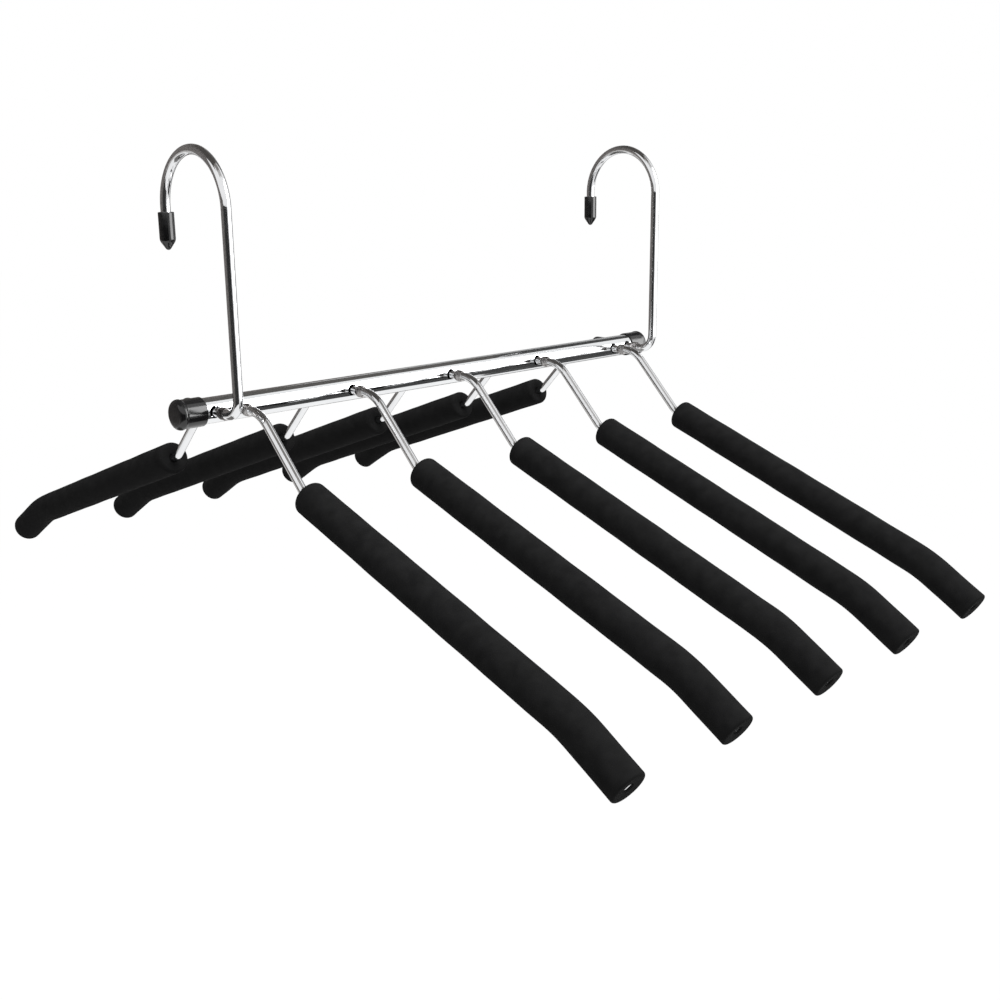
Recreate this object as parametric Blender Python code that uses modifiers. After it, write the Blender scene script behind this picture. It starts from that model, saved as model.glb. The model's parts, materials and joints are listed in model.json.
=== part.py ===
"""Multi-tier clothes hanger.

A steel spine tube hangs level on two wire hooks. Five wire arms pass through the tube from
front to rear, droop on both sides and carry a foam sleeve on each half. Hooks and arms turn
in their cross holes, about axes that run front to rear.

X runs along the spine, -Y is the front and +Z is up. The origin is the middle of the line
on which the two hooks sit.
"""

from math import ceil, cos, pi, radians, sin, tan

import bmesh
import bpy
from mathutils import Matrix, Vector

# Driving dimensions in metres, angles in degrees

# Gap between pieces that touch
CLEARANCE = 0.0003

# Spine tube and the arms along it
TUBE_DIAMETER = 0.0100
TUBE_WALL = 0.0010
ARM_COUNT = 5
ARM_SPACING = 0.0545
HOOK_OFFSET = 0.0105

# Push-on end caps of the spine
END_CAP_WALL = 0.0006
END_CAP_FLOOR = 0.0016
END_CAP_GRIP = 0.0095
END_CAP_EDGE = 0.0014
END_CAP_SETBACK = 0.0005

# Hooks: height is from the tube's axis to the centre of the arch
HOOK_WIRE_DIAMETER = 0.0038
HOOK_HEIGHT = 0.0747
HOOK_ARCH_RADIUS = 0.0207
HOOK_FOOT_BEND_RADIUS = 0.0070
TIP_CAP_STANDOFF = 0.0018

# Vinyl caps on the two ends of each hook wire: the nose is a cone, its angle is from the axis
VINYL_WALL = 0.0008
VINYL_LENGTH = 0.0140
VINYL_NOSE_ANGLE = 34.5
VINYL_NOSE_RADIUS = 0.0012

# Arms: reaches are across the spine from its axis, angles are below the horizontal
ARM_WIRE_DIAMETER = 0.0035
SHOULDER_REACH = 0.0187
SHOULDER_BEND_RADIUS = 0.0140
DROP_ANGLE = 46.0
ELBOW_REACH = 0.0443
ELBOW_BEND_RADIUS = 0.0080
SLEEVE_ANGLE = 19.8
TIP_BEND_REACH = 0.1774
TIP_BEND_RADIUS = 0.0620
TIP_ANGLE = 31.2
ARM_REACH = 0.2000

# Foam sleeves on the arms
SLEEVE_DIAMETER = 0.0134
SLEEVE_EDGE = 0.0014
SLEEVE_STANDOFF = 0.0030
WIRE_END_RECESS = 0.0004

# Stop collars swaged on the wires beside the tube
COLLAR_WALL = 0.0007
COLLAR_LENGTH = 0.0040
COLLAR_EDGE = 0.0004

# Facets
ARC_STEP = 11.5
EDGE_STEPS = 3
TUBE_SIDES = 24
HOLE_SIDES = 16
COLLAR_SIDES = 16
VINYL_SIDES = 14
WIRE_BEVEL_RESOLUTION = 2
SLEEVE_BEVEL_RESOLUTION = 5
WELD_DISTANCE = 0.000001
SHARP_ANGLE = 40.0

# Derived sizes
TUBE_RADIUS = TUBE_DIAMETER / 2
HOOK_HOLE_RADIUS = HOOK_WIRE_DIAMETER / 2 + CLEARANCE
ARM_HOLE_RADIUS = ARM_WIRE_DIAMETER / 2 + CLEARANCE
HOOK_COLLAR_RADIUS = HOOK_HOLE_RADIUS + COLLAR_WALL
SEAT_HEIGHT = HOOK_HEIGHT + HOOK_ARCH_RADIUS - HOOK_WIRE_DIAMETER / 2
SPINE_Z = -SEAT_HEIGHT
ARM_X = [(index - (ARM_COUNT - 1) / 2) * ARM_SPACING for index in range(ARM_COUNT)]
HOOK_X = ARM_X[-1] + HOOK_OFFSET
CAP_RIM_X = HOOK_X + HOOK_COLLAR_RADIUS + END_CAP_SETBACK
TUBE_HALF_LENGTH = CAP_RIM_X + END_CAP_GRIP
VINYL_RADIUS = HOOK_HOLE_RADIUS + VINYL_WALL
VINYL_BALL_HEIGHT = VINYL_NOSE_RADIUS * (1 - sin(radians(VINYL_NOSE_ANGLE)))
VINYL_BALL_REACH = VINYL_NOSE_RADIUS * cos(radians(VINYL_NOSE_ANGLE))
VINYL_CONE_HEIGHT = (VINYL_RADIUS - VINYL_BALL_REACH) / tan(radians(VINYL_NOSE_ANGLE))
VINYL_BORE_DEPTH = VINYL_LENGTH - VINYL_BALL_HEIGHT - VINYL_CONE_HEIGHT
SURFACE_REACH = TUBE_RADIUS + CLEARANCE

FRONT = -1
REAR = 1
LEFT = -1
RIGHT = 1

# Rotations that point a turned piece's own +Z along a direction
AIM = {
    "left": (0.0, -pi / 2, 0.0),
    "right": (0.0, pi / 2, 0.0),
    "front": (pi / 2, 0.0, 0.0),
    "rear": (-pi / 2, 0.0, 0.0),
    "down": (pi, 0.0, 0.0),
}


# Scene, collections and materials


def clear_scene():
    for old in list(bpy.data.objects):
        bpy.data.objects.remove(old, do_unlink=True)


def new_collection(name):
    collection = bpy.data.collections.new(name)
    bpy.context.scene.collection.children.link(collection)
    return collection


def new_material(name, colour, roughness, metallic):
    material = bpy.data.materials.new(name)
    material.use_nodes = True
    shader = material.node_tree.nodes["Principled BSDF"]
    shader.inputs["Base Color"].default_value = (*colour, 1.0)
    shader.inputs["Roughness"].default_value = roughness
    shader.inputs["Metallic"].default_value = metallic
    return material


clear_scene()
HANGER = new_collection("multi_tier_clothes_hanger")
CUTTERS = new_collection("cutters")
CHROME_TUBE = new_material("chrome_tube", (0.80, 0.81, 0.83), 0.08, 1.0)
CHROME_WIRE = new_material("chrome_wire", (0.74, 0.75, 0.77), 0.14, 1.0)
COLLAR_STEEL = new_material("collar_steel", (0.42, 0.41, 0.41), 0.38, 1.0)
BLACK_FOAM = new_material("black_foam", (0.012, 0.012, 0.012), 0.92, 0.0)
BLACK_VINYL = new_material("black_vinyl", (0.010, 0.010, 0.011), 0.22, 0.0)


def add_part(name, data, material, location=(0.0, 0.0, 0.0), rotation=(0.0, 0.0, 0.0), parent=None):
    part = bpy.data.objects.new(name, data)
    part.parent = parent
    part.location = location
    part.rotation_euler = rotation
    if not data.materials:
        data.materials.append(material)
    HANGER.objects.link(part)
    return part


def add_cutter(name, mesh, location=(0.0, 0.0, 0.0)):
    cutter = bpy.data.objects.new(name, mesh)
    cutter.location = location
    cutter.hide_render = True
    cutter.display_type = "WIRE"
    CUTTERS.objects.link(cutter)
    return cutter


def add_pivot(name, x):
    """An empty on a hinge axis, at the middle of its cross hole in the spine."""
    pivot = bpy.data.objects.new(name, None)
    pivot.empty_display_size = TUBE_DIAMETER
    pivot.location = (x, 0.0, SPINE_Z)
    HANGER.objects.link(pivot)
    return pivot


def cut(part, cutter):
    boolean = part.modifiers.new("cut", "BOOLEAN")
    boolean.operation = "DIFFERENCE"
    boolean.object = cutter


def finished_mesh(source):
    """The closed mesh that an object evaluates to, welded and shaded. The object is removed."""
    CUTTERS.objects.link(source)
    evaluated = source.evaluated_get(bpy.context.evaluated_depsgraph_get())
    mesh = bpy.data.meshes.new_from_object(evaluated)
    bpy.data.objects.remove(source, do_unlink=True)
    work = bmesh.new()
    work.from_mesh(mesh)
    bmesh.ops.remove_doubles(work, verts=work.verts, dist=WELD_DISTANCE)
    bmesh.ops.recalc_face_normals(work, faces=work.faces)
    work.to_mesh(mesh)
    work.free()
    mesh.shade_smooth()
    mesh.set_sharp_from_angle(angle=radians(SHARP_ANGLE))
    return mesh


# Swept bars


def rounded_path(corners, radii):
    """Points along straight runs, with each inner corner rounded to its radius."""
    points = [corners[0]]
    for before, corner, after, radius in zip(corners, corners[1:], corners[2:], radii):
        back = (before - corner).normalized()
        onward = (after - corner).normalized()
        turn = pi - back.angle(onward)
        tangent = radius * tan(turn / 2)
        centre = corner + (back + onward).normalized() * (radius / cos(turn / 2))
        spoke = corner + back * tangent - centre
        last_spoke = corner + onward * tangent - centre
        across = (last_spoke - spoke * cos(turn)) / sin(turn)
        steps = max(2, ceil(turn / radians(ARC_STEP)))
        for step in range(steps + 1):
            angle = turn * step / steps
            point = centre + spoke * cos(angle) + across * sin(angle)
            if (point - points[-1]).length > WELD_DISTANCE:
                points.append(point)
    points.append(corners[-1])
    return points


def swept_bar(name, points, diameter, bevel_resolution, scales=None):
    """A round bar along a row of points, thinned at each point by its scale."""
    curve = bpy.data.curves.new(name, "CURVE")
    curve.dimensions = "3D"
    curve.bevel_depth = diameter / 2
    curve.bevel_resolution = bevel_resolution
    curve.use_fill_caps = True
    spline = curve.splines.new("POLY")
    spline.points.add(len(points) - 1)
    for index, point in enumerate(points):
        spline.points[index].co = (*point, 1.0)
        spline.points[index].radius = scales[index] if scales else 1.0
    return curve


# Turned pieces


def edge_arc(radius, height, edge, start, end):
    """A rounded edge: an arc about (radius, height) from one angle to another, in degrees."""
    angles = [radians(start + (end - start) * step / EDGE_STEPS) for step in range(EDGE_STEPS + 1)]
    return [(radius + edge * cos(angle), height + edge * sin(angle)) for angle in angles]


def cup_profile(bore_radius, outer_radius, depth, floor, edge):
    """A cap, open at height 0 and closed above its bore, from the axis round to the axis."""
    top = depth + floor
    outside = [(0.0, top)] + edge_arc(outer_radius - edge, top - edge, edge, 90, 0)
    return outside + [(outer_radius, 0.0), (bore_radius, 0.0), (bore_radius, depth), (0.0, depth)]


def ring_profile(bore_radius, outer_radius, length, edge):
    """A ring from height 0 up, with its outer edges rounded."""
    upper = edge_arc(outer_radius - edge, length - edge, edge, 90, 0)
    lower = edge_arc(outer_radius - edge, edge, edge, 0, -90)
    return upper + lower + [(bore_radius, 0.0), (bore_radius, length)]


def turned_mesh(name, profile, sides, closed):
    """A profile of (radius, height) pairs, turned once round the Z axis."""
    edges = [(index, index + 1) for index in range(len(profile) - 1)]
    if closed:
        edges.append((len(profile) - 1, 0))
    mesh = bpy.data.meshes.new(name)
    mesh.from_pydata([(radius, 0.0, height) for radius, height in profile], edges, [])
    source = bpy.data.objects.new(name, mesh)
    screw = source.modifiers.new("turn", "SCREW")
    screw.axis = "Z"
    screw.angle = 2 * pi
    screw.steps = sides
    screw.render_steps = sides
    screw.use_merge_vertices = True
    screw.merge_threshold = WELD_DISTANCE
    return finished_mesh(source)


def collar_mesh(name, wire_diameter):
    """A stop collar that fits its wire."""
    bore_radius = wire_diameter / 2 + CLEARANCE
    profile = ring_profile(bore_radius, bore_radius + COLLAR_WALL, COLLAR_LENGTH, COLLAR_EDGE)
    return turned_mesh(name, profile, COLLAR_SIDES, closed=True)


# Spine tube and its end caps


def cross_holes():
    """One bar for each cross hole of the spine, in a single cutter."""
    holes = [(x, ARM_HOLE_RADIUS) for x in ARM_X]
    holes += [(side * HOOK_X, HOOK_HOLE_RADIUS) for side in (LEFT, RIGHT)]
    work = bmesh.new()
    for x, radius in holes:
        bmesh.ops.create_cone(
            work,
            cap_ends=True,
            segments=HOLE_SIDES,
            radius1=radius,
            radius2=radius,
            depth=2 * TUBE_DIAMETER,
            matrix=Matrix.Translation((x, 0.0, 0.0)) @ Matrix.Rotation(pi / 2, 4, "X"),
        )
    mesh = bpy.data.meshes.new("cross_holes")
    work.to_mesh(mesh)
    work.free()
    return mesh


def build_spine():
    length = 2 * TUBE_HALF_LENGTH
    profile = [
        (TUBE_RADIUS, length),
        (TUBE_RADIUS, 0.0),
        (TUBE_RADIUS - TUBE_WALL, 0.0),
        (TUBE_RADIUS - TUBE_WALL, length),
    ]
    mesh = turned_mesh("spine_tube", profile, TUBE_SIDES, closed=True)
    tube = add_part("spine_tube", mesh, CHROME_TUBE, (-TUBE_HALF_LENGTH, 0.0, SPINE_Z), AIM["right"])
    cut(tube, add_cutter("cross_holes", cross_holes(), (0.0, 0.0, SPINE_Z)))


def build_end_caps():
    bore_radius = TUBE_RADIUS + CLEARANCE
    profile = cup_profile(
        bore_radius, bore_radius + END_CAP_WALL, END_CAP_GRIP + CLEARANCE, END_CAP_FLOOR, END_CAP_EDGE
    )
    mesh = turned_mesh("end_cap", profile, TUBE_SIDES, closed=False)
    for name, side in (("left", LEFT), ("right", RIGHT)):
        add_part("end_cap_" + name, mesh, BLACK_VINYL, (side * CAP_RIM_X, 0.0, SPINE_Z), AIM[name])


# Hooks


def hook_points():
    """From the capped foot behind the tube, forward, up the stem and over to the capped tip."""
    top = HOOK_HEIGHT + HOOK_ARCH_RADIUS
    tip = HOOK_HEIGHT - TIP_CAP_STANDOFF - VINYL_BORE_DEPTH + CLEARANCE
    corners = [
        Vector((0.0, SURFACE_REACH + VINYL_BORE_DEPTH - CLEARANCE, 0.0)),
        Vector((0.0, -HOOK_ARCH_RADIUS, 0.0)),
        Vector((0.0, -HOOK_ARCH_RADIUS, top)),
        Vector((0.0, HOOK_ARCH_RADIUS, top)),
        Vector((0.0, HOOK_ARCH_RADIUS, tip)),
    ]
    return rounded_path(corners, [HOOK_FOOT_BEND_RADIUS, HOOK_ARCH_RADIUS, HOOK_ARCH_RADIUS])


def vinyl_cap_mesh():
    """A long cap, open at height 0. Its bore ends where the nose begins, and the nose ends in a ball."""
    ball = edge_arc(0.0, VINYL_LENGTH - VINYL_NOSE_RADIUS, VINYL_NOSE_RADIUS, 90, VINYL_NOSE_ANGLE)
    outside = ball + [(VINYL_RADIUS, VINYL_BORE_DEPTH), (VINYL_RADIUS, 0.0)]
    bore = [(HOOK_HOLE_RADIUS, 0.0), (HOOK_HOLE_RADIUS, VINYL_BORE_DEPTH), (0.0, VINYL_BORE_DEPTH)]
    return turned_mesh("vinyl_cap", outside + bore, VINYL_SIDES, closed=False)


def build_hooks():
    wire = swept_bar("hook_wire", hook_points(), HOOK_WIRE_DIAMETER, WIRE_BEVEL_RESOLUTION)
    cap = vinyl_cap_mesh()
    collar = collar_mesh("hook_collar", HOOK_WIRE_DIAMETER)
    tip_place = (0.0, HOOK_ARCH_RADIUS, HOOK_HEIGHT - TIP_CAP_STANDOFF)
    for name, side in (("hook_left", LEFT), ("hook_right", RIGHT)):
        pivot = add_pivot(name + "_pivot", side * HOOK_X)
        add_part(name + "_wire", wire, CHROME_WIRE, parent=pivot)
        add_part(name + "_tip_cap", cap, BLACK_VINYL, tip_place, AIM["down"], pivot)
        add_part(name + "_foot_cap", cap, BLACK_VINYL, (0.0, SURFACE_REACH, 0.0), AIM["rear"], pivot)
        add_part(name + "_collar", collar, COLLAR_STEEL, (0.0, -SURFACE_REACH, 0.0), AIM["front"], pivot)


# Arms


def below(angle):
    """The fall for each metre of reach along a run this many degrees below the horizontal."""
    return tan(radians(angle))


ELBOW_FALL = (ELBOW_REACH - SHOULDER_REACH) * below(DROP_ANGLE)
TIP_BEND_FALL = ELBOW_FALL + (TIP_BEND_REACH - ELBOW_REACH) * below(SLEEVE_ANGLE)
ARM_FALL = TIP_BEND_FALL + (ARM_REACH - TIP_BEND_REACH) * below(TIP_ANGLE)


def arm_point(side, reach, fall):
    return Vector((0.0, side * reach, -fall))


def tip_point(side, setback):
    """A point on the arm's last run, this far back from the outer end of its sleeve."""
    reach = ARM_REACH - setback * cos(radians(TIP_ANGLE))
    return arm_point(side, reach, ARM_FALL - setback * sin(radians(TIP_ANGLE)))


def half_arm_points(side):
    """From the tube's axis out through the shoulder, elbow and tip bends to the wire's end."""
    corners = [
        arm_point(side, 0.0, 0.0),
        arm_point(side, SHOULDER_REACH, 0.0),
        arm_point(side, ELBOW_REACH, ELBOW_FALL),
        arm_point(side, TIP_BEND_REACH, TIP_BEND_FALL),
        tip_point(side, WIRE_END_RECESS),
    ]
    return rounded_path(corners, [SHOULDER_BEND_RADIUS, ELBOW_BEND_RADIUS, TIP_BEND_RADIUS])


def sleeve_run(side, overshoot):
    """The sleeve's own line from end to end, drawn out at both ends by an overshoot."""
    standoff = SLEEVE_STANDOFF - overshoot
    start = arm_point(
        side,
        ELBOW_REACH + standoff * cos(radians(SLEEVE_ANGLE)),
        ELBOW_FALL + standoff * sin(radians(SLEEVE_ANGLE)),
    )
    bend = arm_point(side, TIP_BEND_REACH, TIP_BEND_FALL)
    return rounded_path([start, bend, tip_point(side, -overshoot)], [TIP_BEND_RADIUS])


def round_ends(points):
    """The same line with extra points near both ends, and scales that round the end edges."""
    first_way = (points[1] - points[0]).normalized()
    last_way = (points[-2] - points[-1]).normalized()
    radius = SLEEVE_DIAMETER / 2
    insets = []
    for step in range(EDGE_STEPS + 1):
        angle = radians(90 * step / EDGE_STEPS)
        insets.append((SLEEVE_EDGE * (1 - cos(angle)), (radius - SLEEVE_EDGE * (1 - sin(angle))) / radius))
    head = [(points[0] + first_way * inset, scale) for inset, scale in insets]
    foot = [(points[-1] + last_way * inset, scale) for inset, scale in reversed(insets)]
    rows = head + [(point, 1.0) for point in points[1:-1]] + foot
    return [point for point, scale in rows], [scale for point, scale in rows]


def sleeve_mesh(name, side):
    """A bent foam tube with rounded end edges, bored through for its wire."""
    points, scales = round_ends(sleeve_run(side, 0.0))
    outer = swept_bar(name, points, SLEEVE_DIAMETER, SLEEVE_BEVEL_RESOLUTION, scales)
    bore_points = sleeve_run(side, SLEEVE_EDGE)
    bore = swept_bar(name + "_bore", bore_points, 2 * ARM_HOLE_RADIUS, WIRE_BEVEL_RESOLUTION)
    bore_mesh = finished_mesh(bpy.data.objects.new(name + "_bore", bore))
    solid = bpy.data.objects.new(name, finished_mesh(bpy.data.objects.new(name, outer)))
    cut(solid, add_cutter(name + "_bore", bore_mesh))
    return finished_mesh(solid)


def build_arms():
    wire_points = half_arm_points(REAR)[:0:-1] + half_arm_points(FRONT)[1:]
    wire = swept_bar("arm_wire", wire_points, ARM_WIRE_DIAMETER, WIRE_BEVEL_RESOLUTION)
    collar = collar_mesh("arm_collar", ARM_WIRE_DIAMETER)
    sides = {"front": FRONT, "rear": REAR}
    sleeves = {name: sleeve_mesh("sleeve_" + name, side) for name, side in sides.items()}
    for index, x in enumerate(ARM_X):
        arm = "arm_%d" % (index + 1)
        pivot = add_pivot(arm + "_pivot", x)
        add_part(arm + "_wire", wire, CHROME_WIRE, parent=pivot)
        for name, side in sides.items():
            add_part(arm + "_sleeve_" + name, sleeves[name], BLACK_FOAM, parent=pivot)
            place = (0.0, side * SURFACE_REACH, 0.0)
            add_part(arm + "_collar_" + name, collar, COLLAR_STEEL, place, AIM[name], pivot)


build_spine()
build_end_caps()
build_hooks()
build_arms()
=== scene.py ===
"""Looks of the multi-tier clothes hanger: fine chrome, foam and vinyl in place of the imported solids.

X runs along the spine, -Y is the front and +Z is up. The fine pieces keep the solids' places and main sizes,
and each one rides on the body of the solid that it stands for.
"""

import json
from math import ceil, copysign, cos, pi, radians, sin, tan

import bmesh
import bpy
from mathutils import Matrix, Vector


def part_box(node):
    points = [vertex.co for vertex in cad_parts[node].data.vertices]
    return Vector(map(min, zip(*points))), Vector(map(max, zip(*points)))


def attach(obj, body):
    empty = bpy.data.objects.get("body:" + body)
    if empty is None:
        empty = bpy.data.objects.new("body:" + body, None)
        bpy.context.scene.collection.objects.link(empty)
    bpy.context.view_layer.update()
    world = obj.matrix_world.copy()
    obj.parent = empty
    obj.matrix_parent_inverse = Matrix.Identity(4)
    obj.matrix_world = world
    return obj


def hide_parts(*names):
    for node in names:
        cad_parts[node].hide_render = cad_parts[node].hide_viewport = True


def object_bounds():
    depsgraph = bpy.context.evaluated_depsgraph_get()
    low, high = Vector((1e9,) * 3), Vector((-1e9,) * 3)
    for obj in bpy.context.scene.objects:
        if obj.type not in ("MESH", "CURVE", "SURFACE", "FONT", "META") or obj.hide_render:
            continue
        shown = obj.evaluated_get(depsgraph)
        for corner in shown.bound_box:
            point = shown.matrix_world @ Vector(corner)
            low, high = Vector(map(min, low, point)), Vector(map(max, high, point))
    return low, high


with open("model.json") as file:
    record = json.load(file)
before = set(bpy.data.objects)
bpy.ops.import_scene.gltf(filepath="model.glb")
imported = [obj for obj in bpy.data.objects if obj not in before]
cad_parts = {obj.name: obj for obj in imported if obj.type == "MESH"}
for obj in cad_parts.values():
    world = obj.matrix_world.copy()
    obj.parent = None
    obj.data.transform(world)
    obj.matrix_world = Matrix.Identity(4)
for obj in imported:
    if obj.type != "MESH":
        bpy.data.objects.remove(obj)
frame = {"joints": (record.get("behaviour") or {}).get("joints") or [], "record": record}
CAD_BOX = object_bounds()

# Camera: place in metres, angles in degrees, sensor and focal length in millimetres
CAMERA_PLACE = Vector((-0.37005, -0.41536, -0.00432))
CAMERA_AZIMUTH = -44.20
CAMERA_ELEVATION = 14.87
CAMERA_ROLL = -0.56
SENSOR_WIDTH = 36.0
FOCAL_LENGTH = 45.57

# Sizes of the solids, in metres and degrees
CLEARANCE = 0.0003
TUBE_RADIUS = 0.0050
TUBE_WALL = 0.0010
END_CAP_WALL = 0.0006
END_CAP_FLOOR = 0.0016
END_CAP_GRIP = 0.0095
HOOK_WIRE_RADIUS = 0.0019
HOOK_HEIGHT = 0.0747
HOOK_ARCH_RADIUS = 0.0207
HOOK_FOOT_BEND_RADIUS = 0.0070
TIP_CAP_STANDOFF = 0.0018
VINYL_WALL = 0.0008
VINYL_LENGTH = 0.0140
VINYL_NOSE_ANGLE = 34.5
VINYL_NOSE_RADIUS = 0.0012
ARM_WIRE_RADIUS = 0.00175
SHOULDER_REACH = 0.0187
SHOULDER_BEND_RADIUS = 0.0140
DROP_ANGLE = 46.0
ELBOW_REACH = 0.0443
ELBOW_BEND_RADIUS = 0.0080
SLEEVE_ANGLE = 19.8
TIP_BEND_REACH = 0.1774
TIP_BEND_RADIUS = 0.0620
TIP_ANGLE = 31.2
ARM_REACH = 0.2000
SLEEVE_RADIUS = 0.0067
SLEEVE_EDGE = 0.0014
SLEEVE_STANDOFF = 0.0030

# Fine shapes that the solids leave out or have plainer, in metres
GRIP = 0.00004
HOLE_PLAY = 0.0003
HOLE_FLARE = 0.0002
RIM_EDGE = 0.0003
END_CAP_RIM = 0.0004
END_CAP_EDGE = 0.0022
END_CAP_BEAD = 0.0003
END_CAP_BEAD_RISE = 0.0011
NOSE_SHOULDER = 0.0028
WIRE_EDGE = 0.0004
WIRE_END_RECESS = 0.0007
STOP_START = 0.0080
STOP_END = 0.0126
STOP_RAMP = 0.0010
STOP_TRIM = 0.0003
STOP_THICKNESS = 0.0020
STOP_HEIGHT = 0.0048
STOP_SKIN = 0.00004
SLEEVE_TIP_EDGE = 0.0009
BORE_LIP = 0.0003
END_DISH = 0.0003
FOAM_WAVE = 0.00012
FOAM_WAVE_LENGTH = 0.034
FOAM_WAVE_RATIO = 1.7

# Fineness of the meshes: angles in degrees, lengths in metres
ARC_STEP = 2.0
EDGE_STEPS = 8
WIRE_SIDES = 48
TUBE_SIDES = 96
TURNED_SIDES = 64
SLEEVE_SIDES = 56
SLEEVE_ROW = 0.0020
HOLE_SIDES = 48
HOLE_ROW = 0.0015
HOLE_ROWS = 2
STOP_STEPS = 24
SHARP_ANGLE = 40.0
FACET_ANGLE = 4.0
TINY = 0.0000001

# Colours, from dark to light, and spans of roughness
TUBE_COLOURS = ((0.78, 0.79, 0.80), (0.84, 0.85, 0.86))
TUBE_ROUGHNESS = (0.040, 0.080)
WIRE_COLOURS = ((0.74, 0.745, 0.755), (0.82, 0.825, 0.835))
WIRE_ROUGHNESS = (0.050, 0.110)
STOP_COLOURS = ((0.36, 0.345, 0.34), (0.52, 0.50, 0.49))
STOP_ROUGHNESS = (0.20, 0.34)
FOAM_COLOURS = ((0.0042, 0.0042, 0.0043), (0.0066, 0.0066, 0.0067))
FOAM_ROUGHNESS = (0.86, 0.97)
FOAM_SPECULAR = 0.06
VINYL_COLOURS = ((0.0030, 0.0030, 0.0032), (0.0060, 0.0060, 0.0063))
VINYL_ROUGHNESS = (0.10, 0.19)
VINYL_SPECULAR = 0.6

# Patterns: the usual span of one and of two added up, counts round a piece, and sizes in metres
PATTERN_SPAN = (0.3, 0.7)
DOUBLE_SPAN = (0.75, 1.25)
TUBE_LINES = 60.0
WIRE_LINES = 24.0
LINE_PITCH = 0.045
SMUDGE_SIZE = 0.011
PRESS_LINES = 3.0
PRESS_PITCH = 0.00015
PRESS_PATCH_SIZE = 0.002
PORE_SIZE = 0.00045
LUMP_SIZE = 0.005
PEEL_SIZE = 0.0015
DULL_PATCH_SIZE = 0.004

# Relief of the patterns: depth in metres, and strength
LINE_RELIEF = (0.00002, 0.02)
PRESS_RELIEF = (0.00003, 0.25)
LUMP_RELIEF = (0.0002, 0.15)
PORE_RELIEF = (0.00008, 0.30)
PEEL_RELIEF = (0.00006, 0.06)

# Studio: lengths in metres
WHITE = (1.0, 1.0, 1.0)
WORLD_STRENGTH = 1.0
FLOOR_Z = -5.0
FLOOR_REACH = 60.0
FLAG_DISTANCE = 2.5
CAMERA_FLAG_DISTANCE = 0.7
FLAG_STEPS = 24

# Softboxes: bearing and height in degrees, distance and size in metres, power in watts
OVERHEAD_SOFTBOX = {"bearing": 270, "height": 80, "distance": 1.2, "size": (1.0, 1.0), "power": 42.0}
SIDE_SOFTBOX = {"bearing": 304, "height": 16, "distance": 1.3, "size": (1.0, 1.45), "power": 26.0}

# Flags round the spine: degrees about it from the front upward, degrees toward its left end, and colour
SPINE_FLAGS = {
    "overhead_right_flag": ((86, 138), (-62, -44), (0.07, 0.07, 0.07)),
    "overhead_flag": ((86, 138), (-44, -20), (0.115, 0.11, 0.105)),
    "overhead_left_flag": ((80, 138), (-20, 45), (0.08, 0.075, 0.07)),
    "front_top_flag": ((66.3, 80), (-24, 26), (0.24, 0.23, 0.22)),
    "front_flag": ((55, 66.3), (-24, 26), (0.52, 0.51, 0.50)),
    "low_flag": ((-69, -30), (-62, -22), (0.05, 0.05, 0.05)),
    "low_right_flag": ((-100, -69), (-62, -43), (0.06, 0.06, 0.06)),
}

# Flags round the object: bearing in degrees from +X toward +Y, degrees above the horizon, and colour
CAMERA_FLAG = ((180, 250), (-28, 8), (0.02, 0.02, 0.02))
LEVEL_FLAGS = {
    "left_flag": ((150, 184), (-28, 8), (0.11, 0.105, 0.10)),
    "rear_flag": ((50, 150), (-13, 46), (0.14, 0.13, 0.125)),
    "rear_right_flag": ((50, 80), (-28, -13), (0.14, 0.13, 0.125)),
    "rear_left_flag": ((80, 150), (-28, -13), (0.42, 0.41, 0.40)),
    "rear_low_flag": ((62, 140), (-70, -36), (0.15, 0.145, 0.14)),
    "right_flag": ((-5, 50), (-36, 30), (0.35, 0.35, 0.35)),
}

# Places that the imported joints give, and each node's slot and body
PIVOTS = {joint["child"]: Vector(joint["pos_m"]) for joint in frame["joints"]}
SPINE_Z = PIVOTS["hook_left"].z
ARMS = sorted(name for name in PIVOTS if name.startswith("arm_"))
SLOTS = {row["node"]: row["material_slot"] for row in frame["record"]["subparts"]}
BODIES = {node: body for body, nodes in frame["record"]["behaviour"]["bodies"].items() for node in nodes}

# Derived sizes
SURFACE_REACH = TUBE_RADIUS + CLEARANCE
HOOK_HOLE_RADIUS = HOOK_WIRE_RADIUS + CLEARANCE
ARM_HOLE_RADIUS = ARM_WIRE_RADIUS + CLEARANCE
VINYL_RADIUS = HOOK_HOLE_RADIUS + VINYL_WALL
VINYL_BALL_HEIGHT = VINYL_NOSE_RADIUS * (1 - sin(radians(VINYL_NOSE_ANGLE)))
VINYL_BALL_REACH = VINYL_NOSE_RADIUS * cos(radians(VINYL_NOSE_ANGLE))
VINYL_CONE_HEIGHT = (VINYL_RADIUS - VINYL_BALL_REACH) / tan(radians(VINYL_NOSE_ANGLE))
VINYL_BORE_DEPTH = VINYL_LENGTH - VINYL_BALL_HEIGHT - VINYL_CONE_HEIGHT
HOOK_FOOT_REACH = SURFACE_REACH + VINYL_BORE_DEPTH - CLEARANCE
ELBOW_FALL = (ELBOW_REACH - SHOULDER_REACH) * tan(radians(DROP_ANGLE))
TIP_BEND_FALL = ELBOW_FALL + (TIP_BEND_REACH - ELBOW_REACH) * tan(radians(SLEEVE_ANGLE))
ARM_FALL = TIP_BEND_FALL + (ARM_REACH - TIP_BEND_REACH) * tan(radians(TIP_ANGLE))
MIDDLE = (CAD_BOX[0] + CAD_BOX[1]) / 2

FRONT = Vector((0.0, -1.0, 0.0))
REAR = Vector((0.0, 1.0, 0.0))
DOWN = Vector((0.0, 0.0, -1.0))
UP = Vector((0.0, 0.0, 1.0))
LEFT = Vector((-1.0, 0.0, 0.0))
RIGHT = Vector((1.0, 0.0, 0.0))


# Camera


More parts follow.
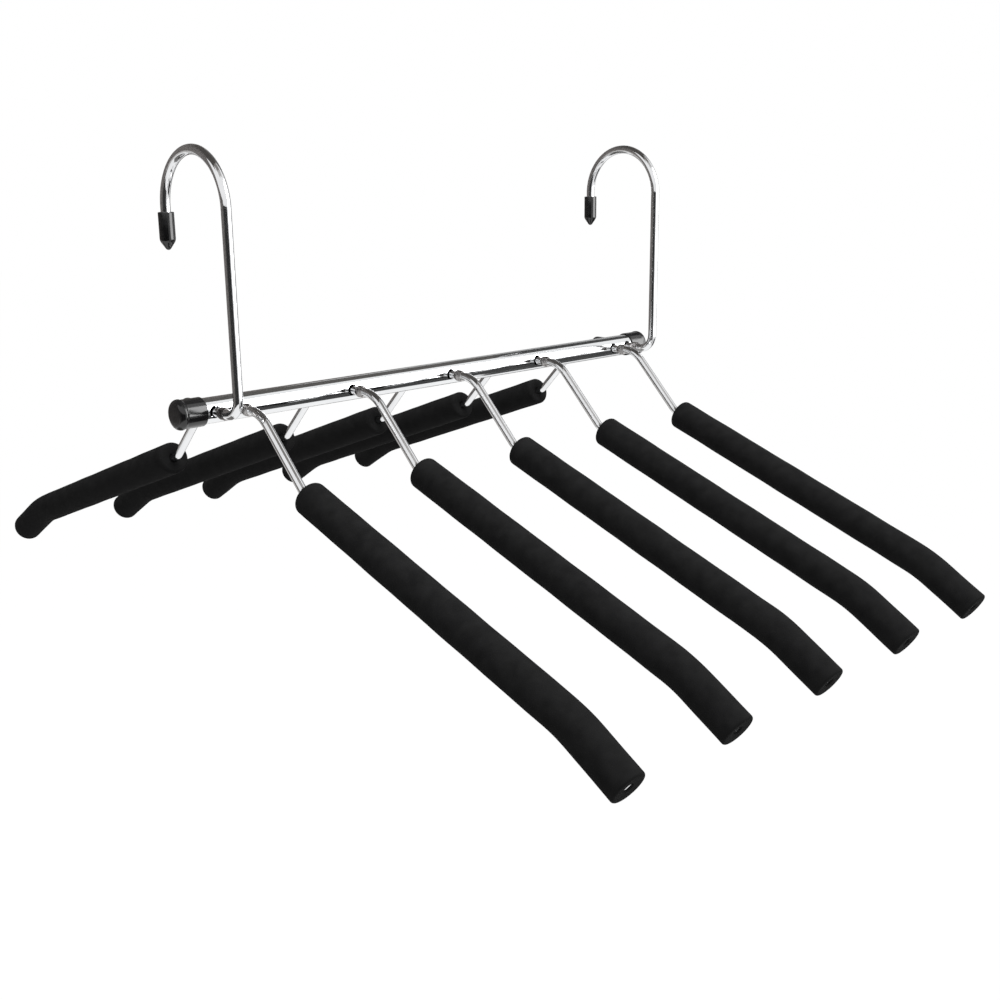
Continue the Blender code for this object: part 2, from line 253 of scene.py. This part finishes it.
def add_camera():
    """The camera at the photograph's place and angle."""
    azimuth, elevation, roll = (radians(a) for a in (CAMERA_AZIMUTH, CAMERA_ELEVATION, CAMERA_ROLL))
    ahead = Vector((-sin(azimuth) * cos(elevation), cos(azimuth) * cos(elevation), -sin(elevation)))
    level = ahead.cross(UP).normalized()
    above = level.cross(ahead)
    right = level * cos(roll) + above * sin(roll)
    up = above * cos(roll) - level * sin(roll)
    data = bpy.data.cameras.new("camera")
    data.sensor_width = SENSOR_WIDTH
    data.lens = FOCAL_LENGTH
    camera = bpy.data.objects.new("camera", data)
    turn = Matrix((right, up, -ahead)).transposed().to_4x4()
    camera.matrix_world = Matrix.Translation(CAMERA_PLACE) @ turn
    bpy.context.scene.collection.objects.link(camera)
    bpy.context.scene.camera = camera


# Meshes


def rounded_path(corners, radii):
    """Points along straight runs, with each inner corner rounded to its radius."""
    points = [corners[0]]
    for before, corner, after, radius in zip(corners, corners[1:], corners[2:], radii):
        back = (before - corner).normalized()
        onward = (after - corner).normalized()
        turn = pi - back.angle(onward)
        tangent = radius * tan(turn / 2)
        centre = corner + (back + onward).normalized() * (radius / cos(turn / 2))
        spoke = corner + back * tangent - centre
        last_spoke = corner + onward * tangent - centre
        across = (last_spoke - spoke * cos(turn)) / sin(turn)
        steps = max(2, ceil(turn / radians(ARC_STEP)))
        for step in range(steps + 1):
            angle = turn * step / steps
            point = centre + spoke * cos(angle) + across * sin(angle)
            if (point - points[-1]).length > TINY:
                points.append(point)
    points.append(corners[-1])
    return points


class Run:
    """A line through points, read by the distance along it."""

    def __init__(self, points):
        self.points = points
        self.marks = [0.0]
        for before, after in zip(points, points[1:]):
            self.marks.append(self.marks[-1] + (after - before).length)
        self.length = self.marks[-1]
        ways = [(after - before).normalized() for before, after in zip(points, points[1:])]
        self.ways = [ways[0]] + [(a + b).normalized() for a, b in zip(ways, ways[1:])] + [ways[-1]]

    def at(self, distance):
        """The point and the direction at a distance from the start."""
        distance = min(max(distance, 0.0), self.length)
        index = next(i for i in range(1, len(self.marks)) if distance <= self.marks[i] + TINY)
        share = (distance - self.marks[index - 1]) / (self.marks[index] - self.marks[index - 1])
        point = self.points[index - 1].lerp(self.points[index], share)
        return point, self.ways[index - 1].lerp(self.ways[index], share).normalized()

    def rows(self, profile):
        """Rows for skin() from (distance, radius) pairs."""
        return [(*self.at(distance), radius) for distance, radius in profile]


def straight_rows(start, way, profile):
    """Rows for skin() from (distance, radius) pairs along a straight axis."""
    return [(start + way * distance, way, radius) for distance, radius in profile]


def arc(distance, radius, edge, start, end):
    """(distance, radius) pairs of a rounded edge: angle 0 is outward and angle 90 is onward."""
    angles = [radians(start + (end - start) * step / EDGE_STEPS) for step in range(EDGE_STEPS + 1)]
    return [(distance + edge * sin(angle), radius + edge * cos(angle)) for angle in angles]


def eased(share):
    """A share kept from 0 to 1, with a soft start and end."""
    share = min(max(share, 0.0), 1.0)
    return share * share * (3 - 2 * share)


def skin(name, rows, across, sides, closed=False):
    """A mesh over rows of (centre, way, radius). No radius makes a point. UV runs round, then along."""
    work = bmesh.new()
    uv_layer = work.loops.layers.uv.new("UVMap")
    rings = []
    for centre, way, radius in rows:
        if radius < TINY:
            rings.append([work.verts.new(centre)])
            continue
        side = way.cross(across).normalized()
        angles = [2 * pi * index / sides for index in range(sides)]
        rings.append([work.verts.new(centre + (across * cos(a) + side * sin(a)) * radius) for a in angles])
    marks = [0.0]
    for before, after in zip(rows, rows[1:]):
        step = Vector(((after[0] - before[0]).length, after[2] - before[2]))
        marks.append(marks[-1] + step.length)
    pairs = list(zip(rings, rings[1:], marks, marks[1:]))
    if closed:
        pairs.append((rings[-1], rings[0], marks[-1], marks[-1] + TINY))
    for ring, following, low, high in pairs:
        for index in range(sides):
            add_face(work, uv_layer, ring, following, index, sides, low, high)
    bmesh.ops.recalc_face_normals(work, faces=work.faces)
    mesh = bpy.data.meshes.new(name)
    work.to_mesh(mesh)
    work.free()
    mesh.shade_smooth()
    mesh.set_sharp_from_angle(angle=radians(SHARP_ANGLE))
    return mesh


def add_face(work, uv_layer, ring, following, index, sides, low, high):
    """One face between two rings, with its place round and along as UV."""
    onward = (index + 1) % sides
    corners = [
        (ring[index % len(ring)], index, low),
        (ring[onward % len(ring)], index + 1, low),
        (following[onward % len(following)], index + 1, high),
        (following[index % len(following)], index, high),
    ]
    if len(ring) == 1:
        del corners[1]
    elif len(following) == 1:
        del corners[2]
    face = work.faces.new([vertex for vertex, around, along in corners])
    for loop, (vertex, around, along) in zip(face.loops, corners):
        loop[uv_layer].uv = (around / sides, along)


def turned(name, start, way, profile):
    """A small turned piece from (distance, radius) pairs along a straight axis."""
    return skin(name, straight_rows(start, way, profile), RIGHT, TURNED_SIDES)


def dress(node, mesh, materials, place=None):
    """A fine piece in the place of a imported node, on the node's body and in its material slot."""
    piece = bpy.data.objects.new(node + "_fine", mesh)
    if place is not None:
        mesh.transform(Matrix.Translation(place))
    mesh.materials.append(materials[SLOTS[node]])
    bpy.context.scene.collection.objects.link(piece)
    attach(piece, BODIES[node])
    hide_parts(node)
    return piece


# Wires and their stops


def wire_mesh(name, points, radius, pivot, stops):
    """A bent wire from rear to front, pressed flat at its stops, given as ways out from the tube."""
    run = Run(points)
    head = [(0.0, 0.0)] + arc(WIRE_EDGE, radius - WIRE_EDGE, WIRE_EDGE, -90, 0)
    foot = arc(run.length - WIRE_EDGE, radius - WIRE_EDGE, WIRE_EDGE, 0, 90) + [(run.length, 0.0)]
    marks = sorted(run.marks + [pivot - stop.y * reach for stop in stops for reach in stop_marks(0.0)])
    middle = [(mark, radius) for mark in marks if head[-1][0] + TINY < mark < foot[0][0] - TINY]
    mesh = skin(name, run.rows(head + middle + foot), RIGHT, WIRE_SIDES)
    press_flat(mesh, radius, 0.0, stops)
    return mesh


def stop_mesh(name, outward, wire_radius):
    """The stop beside the tube, pressed flat together with the wire in it."""
    radius = wire_radius + STOP_SKIN
    marks = stop_marks(STOP_TRIM)
    profile = [(marks[0], 0.0)] + [(mark, radius) for mark in marks] + [(marks[-1], 0.0)]
    mesh = skin(name, straight_rows(Vector(), outward, profile), RIGHT, WIRE_SIDES)
    press_flat(mesh, radius, STOP_SKIN, [outward])
    return mesh


def stop_marks(trim):
    """Distances from the tube's axis at which a stop has its rings, trimmed at both ends."""
    start = STOP_START + trim
    step = (STOP_END - trim - start) / STOP_STEPS
    return [start + step * index for index in range(STOP_STEPS + 1)]


def press_flat(mesh, radius, skin_depth, stops):
    """Presses the level run of a round bar flat at its stops, given as ways out from the tube."""
    signs = [stop.y for stop in stops]
    level_height = 2 * radius
    for vertex in mesh.vertices:
        place = vertex.co
        if abs(place.z) > level_height or copysign(1, place.y) not in signs:
            continue
        press = pressed_share(abs(place.y))
        half = radius + press * (STOP_THICKNESS / 2 + skin_depth - radius)
        place.x = min(max(place.x, -half), half)
        place.z *= 1 + press * ((STOP_HEIGHT / 2 + skin_depth) / radius - 1)
    mesh.update()
    mesh.set_sharp_from_angle(angle=radians(SHARP_ANGLE))


def pressed_share(reach):
    """How far the wire is pressed flat at a distance from the tube's axis, from 0 to 1."""
    return eased((reach - STOP_START) / STOP_RAMP) * eased((STOP_END - reach) / STOP_RAMP)


# Spine


def build_spine(materials):
    """The spine tube, with its cross holes cut out."""
    low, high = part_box("spine_tube")
    length = high.x - low.x
    start = Vector((low.x, 0.0, SPINE_Z))
    hole_marks = [pivot.x - low.x for pivot in PIVOTS.values()]
    steps = range(-HOLE_ROWS, HOLE_ROWS + 1)
    cuts = sorted(mark + HOLE_ROW * step for mark in hole_marks for step in steps)
    outside = [(0.0, TUBE_RADIUS)] + [(mark, TUBE_RADIUS) for mark in cuts] + [(length, TUBE_RADIUS)]
    inside = [(mark, TUBE_RADIUS - TUBE_WALL) for mark, radius in reversed(outside)]
    rows = straight_rows(start, RIGHT, outside + inside)
    tube = bpy.data.objects.new("plain_tube", skin("plain_tube", rows, REAR, TUBE_SIDES, closed=True))
    bpy.context.scene.collection.objects.link(tube)
    cutter = bpy.data.objects.new("cross_holes", cross_holes())
    bpy.context.scene.collection.objects.link(cutter)
    boolean = tube.modifiers.new("holes", "BOOLEAN")
    boolean.object = cutter
    bpy.context.view_layer.update()
    mesh = bpy.data.meshes.new_from_object(tube.evaluated_get(bpy.context.evaluated_depsgraph_get()))
    for scratch in (tube, cutter):
        bpy.data.objects.remove(scratch, do_unlink=True)
    mesh.set_sharp_from_angle(angle=radians(SHARP_ANGLE))
    shade_round(mesh)
    dress("spine_tube", mesh, materials)


def cross_holes():
    """One bar for each cross hole of the spine, flared where it leaves the tube."""
    work = bmesh.new()
    for name, pivot in PIVOTS.items():
        radius = HOLE_PLAY + (ARM_HOLE_RADIUS if name in ARMS else HOOK_HOLE_RADIUS)
        reach = 2 * TUBE_RADIUS
        flare = TUBE_RADIUS - HOLE_FLARE
        wide = radius + HOLE_FLARE + (reach - TUBE_RADIUS)
        profile = [
            (-reach, 0.0),
            (-reach, wide),
            (-flare, radius),
            (flare, radius),
            (reach, wide),
            (reach, 0.0),
        ]
        bar = skin("cross_hole", straight_rows(pivot, REAR, profile), RIGHT, HOLE_SIDES)
        work.from_mesh(bar)
    mesh = bpy.data.meshes.new("cross_holes")
    work.to_mesh(mesh)
    work.free()
    return mesh


def shade_round(mesh):
    """Shades the tube's walls as true rounds, whatever faces the holes leave of them."""
    normals = [corner.vector.copy() for corner in mesh.corner_normals]
    for face in mesh.polygons:
        facing = face.normal.dot(spoke_to(face.center))
        if abs(facing) < cos(radians(FACET_ANGLE)):
            continue
        for index in face.loop_indices:
            place = mesh.vertices[mesh.loops[index].vertex_index].co
            normals[index] = spoke_to(place) * copysign(1, facing)
    mesh.normals_split_custom_set(normals)


def spoke_to(place):
    """The way from the spine's axis straight out to a place."""
    return Vector((0.0, place.y, place.z - SPINE_Z)).normalized()


def cap_mouth(bore_radius, outer_radius, depth, edge):
    """The bore of a cap from the middle of its floor, and the rounded rim that it opens in."""
    inside = [(depth, 0.0), (depth, bore_radius), (BORE_LIP, bore_radius)]
    return inside + arc(edge, outer_radius - edge, edge, -90, 0)


def build_end_caps(materials):
    """Caps pushed on the tube, with a low bead round the closed end."""
    outer = TUBE_RADIUS + CLEARANCE + END_CAP_WALL
    depth = END_CAP_GRIP + CLEARANCE
    top = depth + END_CAP_FLOOR
    mouth = cap_mouth(TUBE_RADIUS + GRIP, outer - END_CAP_BEAD, depth, END_CAP_RIM)
    shares = [step / EDGE_STEPS for step in range(EDGE_STEPS)]
    bead_start = top - END_CAP_EDGE - END_CAP_BEAD_RISE
    rise = [(bead_start + END_CAP_BEAD_RISE * s, outer - END_CAP_BEAD * (1 - eased(s))) for s in shares]
    corner = arc(top - END_CAP_EDGE, outer - END_CAP_EDGE, END_CAP_EDGE, 0, 90)
    profile = mouth + rise + corner + [(top, 0.0)]
    for node, way in (("end_cap_left", LEFT), ("end_cap_right", RIGHT)):
        low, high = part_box(node)
        rim = high.x if way == LEFT else low.x
        rows = straight_rows(Vector((rim, 0.0, SPINE_Z)), way, profile)
        dress(node, skin(node, rows, REAR, TURNED_SIDES), materials)


# Hooks


def hook_points():
    """From the capped foot behind the tube, forward, up the stem and over to the capped tip."""
    top = HOOK_HEIGHT + HOOK_ARCH_RADIUS
    tip = HOOK_HEIGHT - TIP_CAP_STANDOFF - VINYL_BORE_DEPTH + CLEARANCE
    corners = [
        REAR * HOOK_FOOT_REACH,
        Vector((0.0, -HOOK_ARCH_RADIUS, 0.0)),
        Vector((0.0, -HOOK_ARCH_RADIUS, top)),
        Vector((0.0, HOOK_ARCH_RADIUS, top)),
        Vector((0.0, HOOK_ARCH_RADIUS, tip)),
    ]
    return rounded_path(corners, [HOOK_FOOT_BEND_RADIUS, HOOK_ARCH_RADIUS, HOOK_ARCH_RADIUS])


def vinyl_cap_profile():
    """A long cap with a conical nose, which ends in a ball and has a soft shoulder."""
    bend_start = VINYL_BORE_DEPTH - NOSE_SHOULDER * tan(radians(VINYL_NOSE_ANGLE / 2))
    shoulder = arc(bend_start, VINYL_RADIUS - NOSE_SHOULDER, NOSE_SHOULDER, 0, VINYL_NOSE_ANGLE)
    ball = arc(VINYL_LENGTH - VINYL_NOSE_RADIUS, 0.0, VINYL_NOSE_RADIUS, VINYL_NOSE_ANGLE, 90)
    mouth = cap_mouth(HOOK_WIRE_RADIUS + GRIP, VINYL_RADIUS, VINYL_BORE_DEPTH, RIM_EDGE)
    return mouth + shoulder + ball


def build_hooks(materials):
    """Both hooks: a wire with a stop in front of the tube, and a vinyl cap on each end."""
    cap = vinyl_cap_profile()
    tip_place = Vector((0.0, HOOK_ARCH_RADIUS, HOOK_HEIGHT - TIP_CAP_STANDOFF))
    for body in ("hook_left", "hook_right"):
        place = PIVOTS[body]
        wire = wire_mesh("hook_wire", hook_points(), HOOK_WIRE_RADIUS, HOOK_FOOT_REACH, [FRONT])
        dress(body + "_wire", wire, materials, place)
        dress(body + "_collar", stop_mesh("hook_stop", FRONT, HOOK_WIRE_RADIUS), materials, place)
        dress(body + "_tip_cap", turned("tip_cap", tip_place, DOWN, cap), materials, place)
        dress(body + "_foot_cap", turned("foot_cap", REAR * SURFACE_REACH, REAR, cap), materials, place)


# Arms


def arm_point(outward, reach, fall):
    """A point this far out from the tube's axis and this far below it."""
    return outward * reach + DOWN * fall


def tip_point(outward, setback):
    """A point on the arm's last run, this far back from the outer end of its sleeve."""
    reach = ARM_REACH - setback * cos(radians(TIP_ANGLE))
    return arm_point(outward, reach, ARM_FALL - setback * sin(radians(TIP_ANGLE)))


def half_arm_points(outward):
    """From the tube's axis out through the shoulder, elbow and tip bends to the wire's end."""
    corners = [
        Vector((0.0, 0.0, 0.0)),
        arm_point(outward, SHOULDER_REACH, 0.0),
        arm_point(outward, ELBOW_REACH, ELBOW_FALL),
        arm_point(outward, TIP_BEND_REACH, TIP_BEND_FALL),
        tip_point(outward, WIRE_END_RECESS),
    ]
    return rounded_path(corners, [SHOULDER_BEND_RADIUS, ELBOW_BEND_RADIUS, TIP_BEND_RADIUS])


def sleeve_run(outward):
    """The sleeve's own line from its inner end, by the elbow, to its outer end."""
    start = arm_point(
        outward,
        ELBOW_REACH + SLEEVE_STANDOFF * cos(radians(SLEEVE_ANGLE)),
        ELBOW_FALL + SLEEVE_STANDOFF * sin(radians(SLEEVE_ANGLE)),
    )
    bend = arm_point(outward, TIP_BEND_REACH, TIP_BEND_FALL)
    return Run(rounded_path([start, bend, tip_point(outward, 0.0)], [TIP_BEND_RADIUS]))


def foam_radius(distance, shift):
    """The sleeve's radius along its length: foam is never quite even, and the shift makes sleeves differ."""
    turn = 2 * pi * (distance + shift) / FOAM_WAVE_LENGTH
    hollow = 1 / 2 + (sin(turn) + sin(FOAM_WAVE_RATIO * turn)) / 4
    return SLEEVE_RADIUS - FOAM_WAVE * hollow


def sleeve_mesh(name, outward, shift):
    """A bent foam tube that grips its wire, with soft end edges and dished ends round an open bore."""
    run = sleeve_run(outward)
    length = run.length
    between_edges = length - SLEEVE_EDGE - SLEEVE_TIP_EDGE
    count = ceil(between_edges / SLEEVE_ROW)
    marks = [SLEEVE_EDGE + between_edges * index / count for index in range(1, count)]
    body = [(mark, foam_radius(mark, shift)) for mark in marks]
    head_radius = foam_radius(SLEEVE_EDGE, shift)
    tip_radius = foam_radius(length - SLEEVE_TIP_EDGE, shift)
    head = arc(SLEEVE_EDGE, head_radius - SLEEVE_EDGE, SLEEVE_EDGE, -90, 0)
    tip = arc(length - SLEEVE_TIP_EDGE, tip_radius - SLEEVE_TIP_EDGE, SLEEVE_TIP_EDGE, 0, 90)
    grip = ARM_WIRE_RADIUS + GRIP
    bore = [(length - END_DISH, grip + BORE_LIP), (length - END_DISH - BORE_LIP, grip)]
    bore += [(mark, grip) for mark in reversed(run.marks[1:-1])]
    bore += [(END_DISH + BORE_LIP, grip), (END_DISH, grip + BORE_LIP)]
    return skin(name, run.rows(head + body + tip + bore), RIGHT, SLEEVE_SIDES, closed=True)


def build_arms(materials):
    """Five arms: a wire through the tube, with a stop and a foam sleeve on both sides of it."""
    points = half_arm_points(REAR)[:0:-1] + half_arm_points(FRONT)[1:]
    pivot = Run(points).length / 2
    for body in ARMS:
        place = PIVOTS[body]
        wire = wire_mesh("arm_wire", points, ARM_WIRE_RADIUS, pivot, [FRONT, REAR])
        dress(body + "_wire", wire, materials, place)
        for side, outward in (("front", FRONT), ("rear", REAR)):
            mesh = sleeve_mesh("sleeve", outward, place.x + outward.y)
            sleeve = dress(body + "_sleeve_" + side, mesh, materials, place)
            stop = stop_mesh("arm_stop", outward, ARM_WIRE_RADIUS)
            dress(body + "_collar_" + side, stop, materials, place)


# Materials


class Surface:
    """A Principled material, with short ways to add the nodes that vary it."""

    def __init__(self, name, sockets):
        self.material = bpy.data.materials.new(name)
        self.material.use_nodes = True
        self.nodes = self.material.node_tree.nodes
        self.links = self.material.node_tree.links
        self.shader = self.nodes["Principled BSDF"]
        for socket, value in sockets.items():
            self.shader.inputs[socket].default_value = value

    def node(self, kind, inputs, output=0, **settings):
        """Adds a node, whose inputs are plain values or other nodes' outputs, and gives one output."""
        made = self.nodes.new(kind)
        for setting, value in settings.items():
            setattr(made, setting, value)
        for socket, value in inputs.items():
            if isinstance(value, bpy.types.NodeSocket):
                self.links.new(value, made.inputs[socket])
            else:
                made.inputs[socket].default_value = value
        return made.outputs[output]

    def math(self, operation, first, second=0.0):
        """One step of arithmetic on one or two values."""
        return self.node("ShaderNodeMath", {0: first, 1: second}, operation=operation)

    def place(self):
        """The piece's own coordinates, in metres."""
        return self.node("ShaderNodeTexCoord", {}, output="Object")

    def wrap(self, round_count, pitch):
        """Coordinates on a round piece: this many units round it, and one for each pitch along it."""
        uv = self.node("ShaderNodeUVMap", {}, uv_map="UVMap")
        split = self.nodes.new("ShaderNodeSeparateXYZ")
        self.links.new(uv, split.inputs[0])
        angle = self.math("MULTIPLY", split.outputs["X"], 2 * pi)
        reach = round_count / (2 * pi)
        across = self.math("MULTIPLY", self.math("COSINE", angle), reach)
        beside = self.math("MULTIPLY", self.math("SINE", angle), reach)
        along = self.math("DIVIDE", split.outputs["Y"], pitch)
        return self.node("ShaderNodeCombineXYZ", {"X": across, "Y": beside, "Z": along})

    def clouds(self, vector, size=1.0, detail=2.0):
        """Soft grey clouds of about this size."""
        return self.node("ShaderNodeTexNoise", {"Vector": vector, "Scale": 1 / size, "Detail": detail})

    def cells(self, vector, size):
        """Round cells of about this size: the distance from each one's middle."""
        return self.node("ShaderNodeTexVoronoi", {"Vector": vector, "Scale": 1 / size})

    def colour(self, pattern, colours):
        """The base colour, from dark to light over the usual span of a pattern."""
        ramp = self.nodes.new("ShaderNodeValToRGB")
        for element, position, tone in zip(ramp.color_ramp.elements, PATTERN_SPAN, colours):
            element.position = position
            element.color = (*tone, 1.0)
        self.links.new(pattern, ramp.inputs["Fac"])
        self.links.new(ramp.outputs["Color"], self.shader.inputs["Base Color"])

    def roughness(self, pattern, roughness, span=PATTERN_SPAN):
        """The roughness, from low to high over the span of a pattern."""
        low, high = roughness
        start, end = span
        inputs = {"Value": pattern, "From Min": start, "From Max": end, "To Min": low, "To Max": high}
        self.links.new(self.node("ShaderNodeMapRange", inputs), self.shader.inputs["Roughness"])

    def relief(self, *layers):
        """Bump from layers of (pattern, depth in metres, strength)."""
        normal = None
        for pattern, depth, strength in layers:
            inputs = {"Height": pattern, "Distance": depth, "Strength": strength}
            if normal is not None:
                inputs["Normal"] = normal
            normal = self.node("ShaderNodeBump", inputs)
        self.links.new(normal, self.shader.inputs["Normal"])


def chrome(name, colours, roughness, lines):
    """Bright plating over drawn steel: faint lines along it, and finger smudges."""
    surface = Surface(name, {"Metallic": 1.0})
    drawn = surface.clouds(surface.wrap(lines, LINE_PITCH))
    smudge = surface.clouds(surface.place(), SMUDGE_SIZE, detail=4.0)
    surface.colour(smudge, colours)
    surface.roughness(surface.math("ADD", drawn, smudge), roughness, DOUBLE_SPAN)
    surface.relief((drawn, *LINE_RELIEF))
    return surface.material


def stop_steel():
    """Pressed steel with a satin finish: fine marks of the press, and duller patches."""
    surface = Surface("collar_steel", {"Metallic": 1.0})
    rings = surface.clouds(surface.wrap(PRESS_LINES, PRESS_PITCH))
    patches = surface.clouds(surface.place(), PRESS_PATCH_SIZE)
    surface.colour(patches, STOP_COLOURS)
    surface.roughness(rings, STOP_ROUGHNESS)
    surface.relief((rings, *PRESS_RELIEF))
    return surface.material


def foam():
    """Closed-cell foam: matte black, with fine pores and soft unevenness."""
    surface = Surface("foam", {"Specular IOR Level": FOAM_SPECULAR})
    pores = surface.cells(surface.place(), PORE_SIZE)
    lumps = surface.clouds(surface.place(), LUMP_SIZE, detail=3.0)
    surface.colour(lumps, FOAM_COLOURS)
    surface.roughness(lumps, FOAM_ROUGHNESS)
    surface.relief((lumps, *LUMP_RELIEF), (pores, *PORE_RELIEF))
    return surface.material


def vinyl():
    """Dipped vinyl: glossy black, with a faint orange peel and duller patches."""
    surface = Surface("vinyl", {"Specular IOR Level": VINYL_SPECULAR})
    peel = surface.clouds(surface.place(), PEEL_SIZE)
    dull = surface.clouds(surface.place(), DULL_PATCH_SIZE, detail=3.0)
    surface.colour(dull, VINYL_COLOURS)
    surface.roughness(dull, VINYL_ROUGHNESS)
    surface.relief((peel, *PEEL_RELIEF))
    return surface.material


def make_materials():
    """One material for each slot of the record."""
    return {
        "chrome_tube": chrome("chrome_tube", TUBE_COLOURS, TUBE_ROUGHNESS, TUBE_LINES),
        "chrome_wire": chrome("chrome_wire", WIRE_COLOURS, WIRE_ROUGHNESS, WIRE_LINES),
        "collar_steel": stop_steel(),
        "foam": foam(),
        "vinyl": vinyl(),
    }


# Studio


def add_studio():
    """A white studio with a pale floor, two softboxes, and flags for the chrome to reflect."""
    world = bpy.data.worlds.new("studio")
    world.use_nodes = True
    world.node_tree.nodes["Background"].inputs["Color"].default_value = (*WHITE, 1.0)
    world.node_tree.nodes["Background"].inputs["Strength"].default_value = WORLD_STRENGTH
    bpy.context.scene.world = world
    bpy.context.scene.view_settings.view_transform = "Standard"
    add_floor()
    overhead = add_softbox("overhead_softbox", **OVERHEAD_SOFTBOX)
    overhead.visible_glossy = False
    side = add_softbox("side_softbox", **SIDE_SOFTBOX)
    side.visible_diffuse = False
    about_spine = Matrix((FRONT, UP, LEFT)).transposed()
    for name, flag in SPINE_FLAGS.items():
        add_flag(name, *flag, FLAG_DISTANCE, about_spine)
    add_flag("camera_flag", *CAMERA_FLAG, CAMERA_FLAG_DISTANCE)
    for name, flag in LEVEL_FLAGS.items():
        add_flag(name, *flag, FLAG_DISTANCE)


def matte(name, colour):
    """A plain matte stage material."""
    surface = Surface(name, {"Base Color": (*colour, 1.0), "Roughness": 1.0, "Specular IOR Level": 0.0})
    return surface.material


def add_stage_piece(name, work, colour):
    """A matte piece of the stage from a finished mesh in work."""
    mesh = bpy.data.meshes.new(name)
    work.to_mesh(mesh)
    work.free()
    mesh.shade_smooth()
    mesh.materials.append(matte(name, colour))
    piece = bpy.data.objects.new(name, mesh)
    bpy.context.scene.collection.objects.link(piece)
    return piece


def add_floor():
    """A white floor far below the hanging object."""
    work = bmesh.new()
    bmesh.ops.create_grid(work, x_segments=2, y_segments=2, size=FLOOR_REACH)
    floor = add_stage_piece("floor", work, WHITE)
    floor.location = (0.0, 0.0, FLOOR_Z)


def direction(bearing, height):
    """The way to a bearing, in degrees from +X toward +Y, at a height above the horizon."""
    level = Vector((cos(radians(bearing)), sin(radians(bearing)), 0.0))
    return level * cos(radians(height)) + UP * sin(radians(height))


def add_softbox(name, bearing, height, distance, size, power):
    """A rectangular light of this power in watts, in this direction from the object and aimed at it."""
    way = direction(bearing, height)
    light = bpy.data.lights.new(name, "AREA")
    light.shape = "RECTANGLE"
    light.size, light.size_y = size
    light.energy = power
    softbox = bpy.data.objects.new(name, light)
    softbox.location = MIDDLE + way * distance
    softbox.rotation_euler = way.to_track_quat("Z", "Y").to_euler()
    bpy.context.scene.collection.objects.link(softbox)
    return softbox


def add_flag(name, bearings, heights, colour, distance, turn=Matrix.Identity(3)):
    """A dark cloth round the object, seen only in gloss, where it gives chrome its dark bands."""
    work = bmesh.new()
    bmesh.ops.create_grid(work, x_segments=FLAG_STEPS, y_segments=FLAG_STEPS, size=1.0)
    for vertex in work.verts:
        way = direction(angle_at(bearings, vertex.co.x), angle_at(heights, vertex.co.y))
        vertex.co = MIDDLE + turn @ way * distance
    flag = add_stage_piece(name, work, colour)
    flag.visible_camera = False
    flag.visible_diffuse = False
    flag.visible_shadow = False


def angle_at(span, place):
    """The angle at a place from -1 to 1 across a span of angles."""
    low, high = span
    return (low + high) / 2 + (high - low) / 2 * place


add_camera()
add_studio()
surfaces = make_materials()
build_spine(surfaces)
build_end_caps(surfaces)
build_hooks(surfaces)
build_arms(surfaces)
